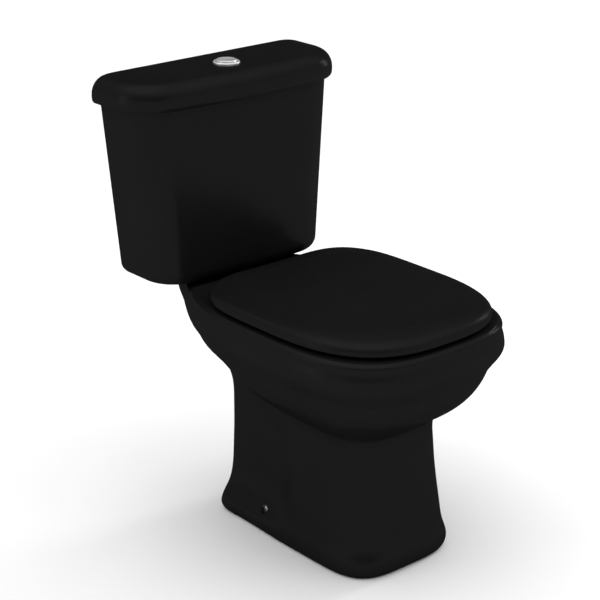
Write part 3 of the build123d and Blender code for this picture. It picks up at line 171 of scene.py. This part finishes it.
def satin_black(name, dark, light, rough, scale, bumps=None):
    """A black whose sheen is about as weak at the edges as it is face on."""
    material, tree, shader = new_material(name)
    shader.inputs["Specular IOR Level"].default_value = 0.0
    shader.inputs["Roughness"].default_value = BLACK_ROUGHNESS
    shader.inputs["Coat Weight"].default_value = SHEEN_WEIGHT
    shader.inputs["Coat IOR"].default_value = SHEEN_IOR
    tint(tree, object_noise(tree, scale), dark, light, shader.inputs["Base Color"])
    fine_noise = object_noise(tree, scale * ROUGHNESS_FINER)
    vary(tree, fine_noise, rough[0], rough[1], shader.inputs["Coat Roughness"])
    if bumps:
        bump(tree, bumps, shader.inputs["Coat Normal"])
    return material


def grey(value):
    """A grey that is a trace cool."""
    return (value, value, value * COOL)


materials = {
    "black_china": satin_black(
        "black_china", grey(0.0066), grey(0.0076),
        rough=(0.2, 0.26), scale=9.0, bumps=GLAZE_WAVES,
    ),
    "black_seat": satin_black(
        "black_seat", grey(0.0066), grey(0.0074),
        rough=(0.26, 0.32), scale=14.0,
    ),
    "chrome": surface(
        "chrome", grey(0.62), grey(0.72),
        rough=(0.34, 0.42), scale=60.0, metallic=1.0,
    ),
    "steel": surface(
        "steel", grey(0.42), grey(0.55),
        rough=(0.3, 0.42), scale=90.0, metallic=1.0, stretch=BRUSHED,
    ),
    "brass": surface(
        "brass", (0.6, 0.44, 0.2), (0.72, 0.55, 0.27),
        rough=(0.25, 0.36), scale=70.0, metallic=1.0,
    ),
    "rubber": surface(
        "rubber", grey(0.016), grey(0.026),
        rough=(0.6, 0.75), scale=120.0, bumps=RUBBER_GRAIN,
    ),
    "white_plastic": surface(
        "white_plastic", (0.74, 0.74, 0.71), (0.8, 0.8, 0.77),
        rough=(0.38, 0.46), scale=40.0, bumps=PLASTIC_GRAIN,
    ),
    "grey_plastic": surface(
        "grey_plastic", (0.36, 0.38, 0.41), (0.42, 0.44, 0.47),
        rough=(0.38, 0.46), scale=40.0, bumps=PLASTIC_GRAIN,
    ),
    "black_plastic": surface(
        "black_plastic", grey(0.018), grey(0.028),
        rough=(0.35, 0.45), scale=60.0, bumps=BLACK_PLASTIC_GRAIN,
    ),
}

for name, piece in nodes.items():
    piece.data.materials.clear()
    piece.data.materials.append(materials[slot_of[name]])


# The button's spring: a copy with a mesh of its own, hung on the lid's body in place of the
# CAD part

spring = bpy.data.objects.new("button_spring_coil", nodes["button_spring"].data.copy())
scene.collection.objects.link(spring)
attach(spring, "lid")
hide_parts("button_spring")
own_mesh(spring)


# Floor

def plane(name, size, height):
    """A level square around the origin."""
    half = size / 2
    mesh = bpy.data.meshes.new(name)
    corners = [(x * half, y * half, height) for x, y in ((-1, -1), (1, -1), (1, 1), (-1, 1))]
    mesh.from_pydata(corners, [], [(0, 1, 2, 3)])
    piece = bpy.data.objects.new(name, mesh)
    scene.collection.objects.link(piece)
    return piece


floor = plane("floor", FLOOR_SIZE, FLOOR_HEIGHT)
floor_material, floor_tree, floor_shader = new_material("floor_white")
floor_shader.inputs["Specular IOR Level"].default_value = 0.0
floor_shader.inputs["Roughness"].default_value = 1.0
floor_noise = object_noise(floor_tree, FLOOR_NOISE)
tint(floor_tree, floor_noise, FLOOR_DARK, FLOOR_LIGHT, floor_shader.inputs["Base Color"])
floor.data.materials.append(floor_material)


# World: a white backdrop up to a little above the horizon, then a studio that is dim
# along the line of sight, brighter to both sides and brightest overhead

def ease(tree, value, start, end, low, high):
    """A smooth step of a value from low to high."""
    node = tree.nodes.new("ShaderNodeMapRange")
    node.interpolation_type = "SMOOTHSTEP"
    node.inputs["From Min"].default_value = start
    node.inputs["From Max"].default_value = end
    node.inputs["To Min"].default_value = low
    node.inputs["To Max"].default_value = high
    tree.links.new(value, node.inputs["Value"])
    return node.outputs["Result"]


def combine(tree, operation, *values):
    """A sum, a maximum or the like of some values."""
    node = tree.nodes.new("ShaderNodeMath")
    node.operation = operation
    for place, value in enumerate(values):
        tree.links.new(value, node.inputs[place])
    return node.outputs["Value"]


world = bpy.data.worlds.new("studio")
scene.world = world
world.use_nodes = True
sky = world.node_tree
direction = sky.nodes.new("ShaderNodeTexCoord").outputs["Generated"]
split = sky.nodes.new("ShaderNodeSeparateXYZ")
sky.links.new(direction, split.inputs["Vector"])
height = split.outputs["Z"]
sideways = sky.nodes.new("ShaderNodeVectorMath")
sideways.operation = "DOT_PRODUCT"
sideways.inputs[1].default_value = VIEW_RIGHT
sky.links.new(direction, sideways.inputs[0])
off_axis = combine(sky, "ABSOLUTE", sideways.outputs["Value"])
backdrop = ease(sky, height, BACKDROP_TOP, BACKDROP_GONE, BACKDROP, 0.0)
sides = ease(sky, off_axis, SIDES_START, SIDES_FULL, STUDIO_DIM, STUDIO_SIDES)
top = ease(sky, height, TOP_START, TOP_FULL, 0.0, STUDIO_TOP)
level = combine(sky, "MAXIMUM", backdrop, combine(sky, "ADD", sides, top))
sky.links.new(level, sky.nodes["Background"].inputs["Color"])


# Lights

def place_light(name, lamp, place, target):
    """Puts a lamp in the scene and points it at a target."""
    piece = bpy.data.objects.new(name, lamp)
    scene.collection.objects.link(piece)
    piece.location = place
    piece.rotation_euler = (Vector(target) - Vector(place)).to_track_quat("-Z", "Y").to_euler()


def softbox(name, place, target, width, height, watts):
    """A rectangular light."""
    lamp = bpy.data.lights.new(name, "AREA")
    lamp.shape = "RECTANGLE"
    lamp.size = width
    lamp.size_y = height
    lamp.energy = watts
    place_light(name, lamp, place, target)


def sky_panel(name, place, target, angle, strength):
    """A wide overhead light that is even all over the floor."""
    lamp = bpy.data.lights.new(name, "SUN")
    lamp.angle = math.radians(angle)
    lamp.energy = strength
    place_light(name, lamp, place, target)


sky_panel("overhead", (-0.4, 0.2, 3.0), (0.0, 0.0, 0.0), angle=60.0, strength=0.5)
softbox("left", (-2.8, 0.9, 1.2), (0.0, 0.1, 0.4), width=0.9, height=1.8, watts=5.0)
softbox("right", (2.5, -0.2, 1.35), (0.1, 0.0, 0.5), width=0.5, height=1.0, watts=18.0)


# Camera at the photograph's place

back = Vector(
    (
        math.sin(AZIMUTH) * math.cos(ELEVATION),
        -math.cos(AZIMUTH) * math.cos(ELEVATION),
        math.sin(ELEVATION),
    )
)
up = back.cross(VIEW_RIGHT)
eye = TARGET + back * DISTANCE
camera = bpy.data.objects.new("camera", bpy.data.cameras.new("camera"))
scene.collection.objects.link(camera)
camera.matrix_world = Matrix(
    (
        (VIEW_RIGHT.x, up.x, back.x, eye.x),
        (VIEW_RIGHT.y, up.y, back.y, eye.y),
        (VIEW_RIGHT.z, up.z, back.z, eye.z),
        (0.0, 0.0, 0.0, 1.0),
    )
)
camera.data.sensor_width = SENSOR
camera.data.lens = LENS
camera.data.shift_x = SHIFT_X
camera.data.shift_y = SHIFT_Y
scene.camera = camera
scene.view_settings.view_transform = "Standard"
